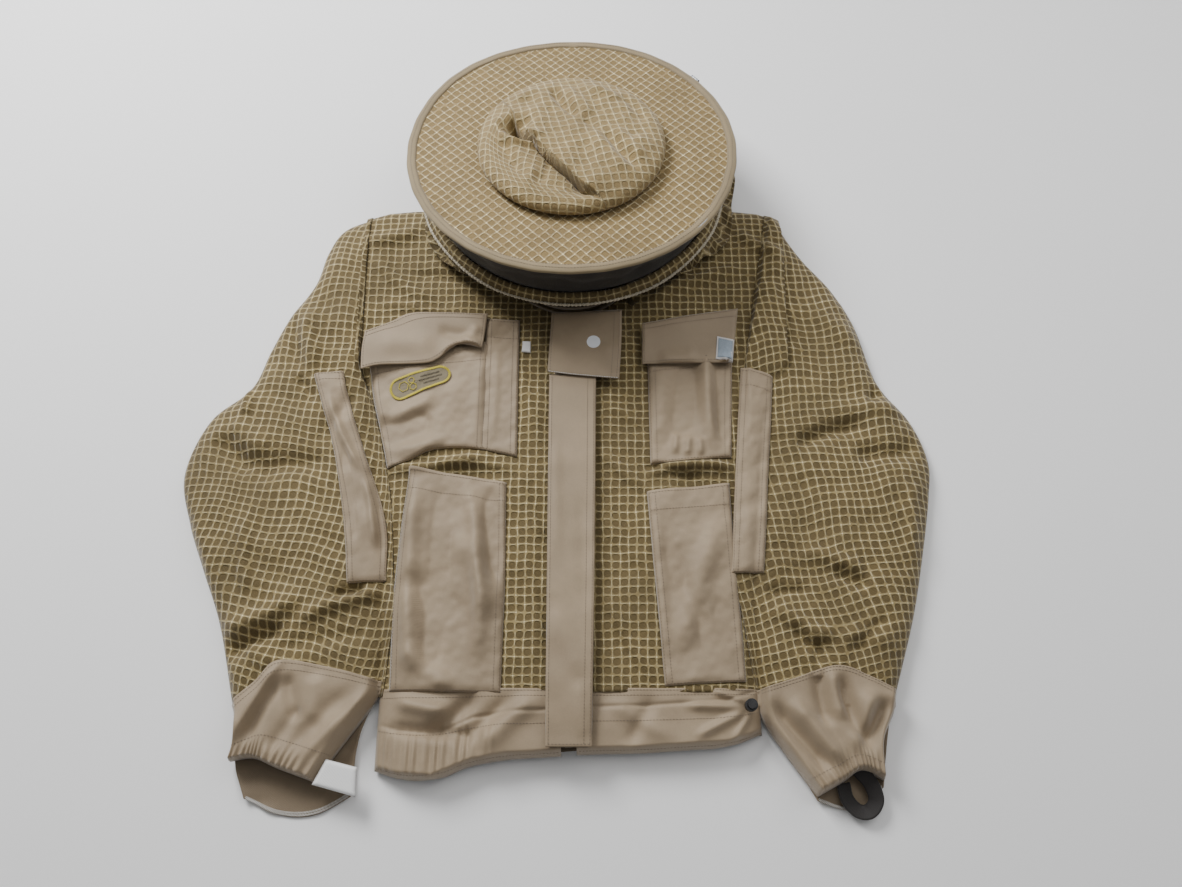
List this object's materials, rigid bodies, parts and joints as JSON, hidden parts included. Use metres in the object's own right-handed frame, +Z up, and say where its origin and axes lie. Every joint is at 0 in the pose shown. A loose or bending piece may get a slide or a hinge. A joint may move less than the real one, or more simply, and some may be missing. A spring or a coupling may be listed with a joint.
{
  "type": "ventilated beekeeping jacket",
  "caption": "Ventilated beekeeping jacket laid flat on its back, with a zipped-on hood of black net under a round brimmed hat.",
  "frame": {"origin": "underside of the back panel, on the line of the front zip", "axes": "+X to the wearer's left as it lies, +Y from the hem to the hat, +Z up"},
  "size_m": [0.874, 0.9408, 0.1719],
  "materials": {
    "mesh": "three-layer ventilated mesh, matte",
    "cotton": "tan poly-cotton twill, slight sheen",
    "veil": "black net",
    "binding": "folded binding tape",
    "piping": "pale corded edge",
    "tape": "woven zip tape",
    "zip_metal": "antique brass, worn",
    "hook_pad": "hook and loop pile",
    "wire": "galvanised spring wire",
    "plastic": "black moulded nylon",
    "white_elastic": "white knitted elastic",
    "black_elastic": "black knitted elastic",
    "label": "satin woven label",
    "badge": "embroidered patch with a merrowed edge",
    "sticker": "blank white film"
  },
  "bodies": {
    "jacket": {"back_panel": "mesh", "left_front_panel": "mesh", "right_front_panel": "mesh", "left_side_panel": "mesh", "right_side_panel": "mesh", "left_sleeve_head": "mesh", "right_sleeve_head": "mesh", "waistband_back": "cotton", "left_waistband": "cotton", "right_waistband": "cotton", "placket_seam": "cotton", "left_chest_pocket": "cotton", "right_chest_pocket": "cotton", "pen_pocket": "cotton", "left_lower_pocket": "cotton", "right_lower_pocket": "cotton", "collar_band": "cotton", "front_zip_tapes": "tape", "collar_zip_tape": "tape", "front_zip_chains": "zip_metal", "front_zip_end_box": "zip_metal", "collar_zip_teeth": "zip_metal", "flap_hook_pads": "hook_pad", "cord_lock_cup": "plastic", "waist_elastic": "white_elastic", "size_label": "label", "badge": "badge"},
    "placket": {"placket": "cotton"},
    "throat_tab": {"throat_tab": "cotton", "blank_sticker": "sticker"},
    "left_chest_flap": {"left_chest_flap": "cotton"},
    "right_chest_flap": {"right_chest_flap": "cotton", "woven_label": "label"},
    "front_slider": {"front_slider": "zip_metal"},
    "front_pull": {"front_pull": "zip_metal"},
    "ring_slider": {"ring_slider": "zip_metal"},
    "ring_pull": {"ring_pull": "zip_metal"},
    "left_sleeve": {"left_sleeve": "mesh", "left_cuff": "cotton", "left_tool_pocket": "cotton", "left_wrist_strap": "white_elastic"},
    "right_sleeve": {"right_sleeve": "mesh", "right_cuff": "cotton", "right_tool_pocket": "cotton", "right_thumb_loop": "black_elastic"},
    "hood": {"hood_zip_teeth": "zip_metal", "hood_zip_tape": "tape", "hood_neck_cloth": "mesh", "hoop_casing": "mesh", "veil_hoop_wire": "wire", "hoop_piping": "piping", "veil_mesh": "veil"},
    "hat": {"hat_brim": "mesh", "brim_binding": "binding", "brim_wire": "wire", "wire_ferrule": "wire", "sweatband": "binding", "hat_crown": "mesh"},
    "cord_lock_button": {"cord_lock_button": "plastic"}
  },
  "joints": [
    {"name": "placket_hinge", "type": "hinge", "parent": "jacket", "child": "placket", "pos_m": [0.0285, 0, 0.042], "axis": [0, 1, 0], "range_deg": [0, 150]},
    {"name": "throat_tab_hinge", "type": "hinge", "parent": "jacket", "child": "throat_tab", "pos_m": [0.015, 0.092, 0.0456], "axis": [-1, 0, 0], "range_deg": [0, 70]},
    {"name": "left_flap_hinge", "type": "hinge", "parent": "jacket", "child": "left_chest_flap", "pos_m": [-0.172, 0.09, 0.042], "axis": [-1, 0, 0], "range_deg": [0, 100]},
    {"name": "right_flap_hinge", "type": "hinge", "parent": "jacket", "child": "right_chest_flap", "pos_m": [0.138, 0.097, 0.042], "axis": [-1, 0, 0], "range_deg": [0, 100]},
    {"name": "front_slider_slide", "type": "slide", "parent": "jacket", "child": "front_slider", "axis": [0, -1, 0], "range_m": [0, 0.455]},
    {"name": "front_pull_swing", "type": "hinge", "parent": "front_slider", "child": "front_pull", "pos_m": [0, 0.079, 0.0372], "axis": [-1, 0, 0], "range_deg": [0, 12]},
    {"name": "ring_slider_turn", "type": "hinge", "parent": "jacket", "child": "ring_slider", "pos_m": [0, 0.186, 0.0445], "axis": [0, 0, 1], "range_deg": [0, 270]},
    {"name": "ring_pull_swing", "type": "hinge", "parent": "ring_slider", "child": "ring_pull", "pos_m": [0.0628, 0.1232, 0.043], "axis": [0.7071, 0.7071, 0], "range_deg": [-20, 20]},
    {"name": "left_sleeve_swing", "type": "hinge", "parent": "jacket", "child": "left_sleeve", "pos_m": [-0.318, 0.04, 0.014], "axis": [0, 0, -1], "range_deg": [0, 30]},
    {"name": "right_sleeve_swing", "type": "hinge", "parent": "jacket", "child": "right_sleeve", "pos_m": [0.318, 0.04, 0.014], "axis": [0, 0, 1], "range_deg": [0, 30]},
    {"name": "hood_flip", "type": "hinge", "parent": "jacket", "child": "hood", "pos_m": [0, 0.274, 0.052], "axis": [-1, 0, 0], "range_deg": [0, 8]},
    {"name": "hat_lift", "type": "slide", "parent": "hood", "child": "hat", "axis": [0, 0.1754, 0.9845], "range_m": [0, 0.12]},
    {"name": "lock_press", "type": "slide", "parent": "jacket", "child": "cord_lock_button", "axis": [0, 0, -1], "range_m": [0, 0.003], "stiffness_N_per_m": 300}
  ]
}
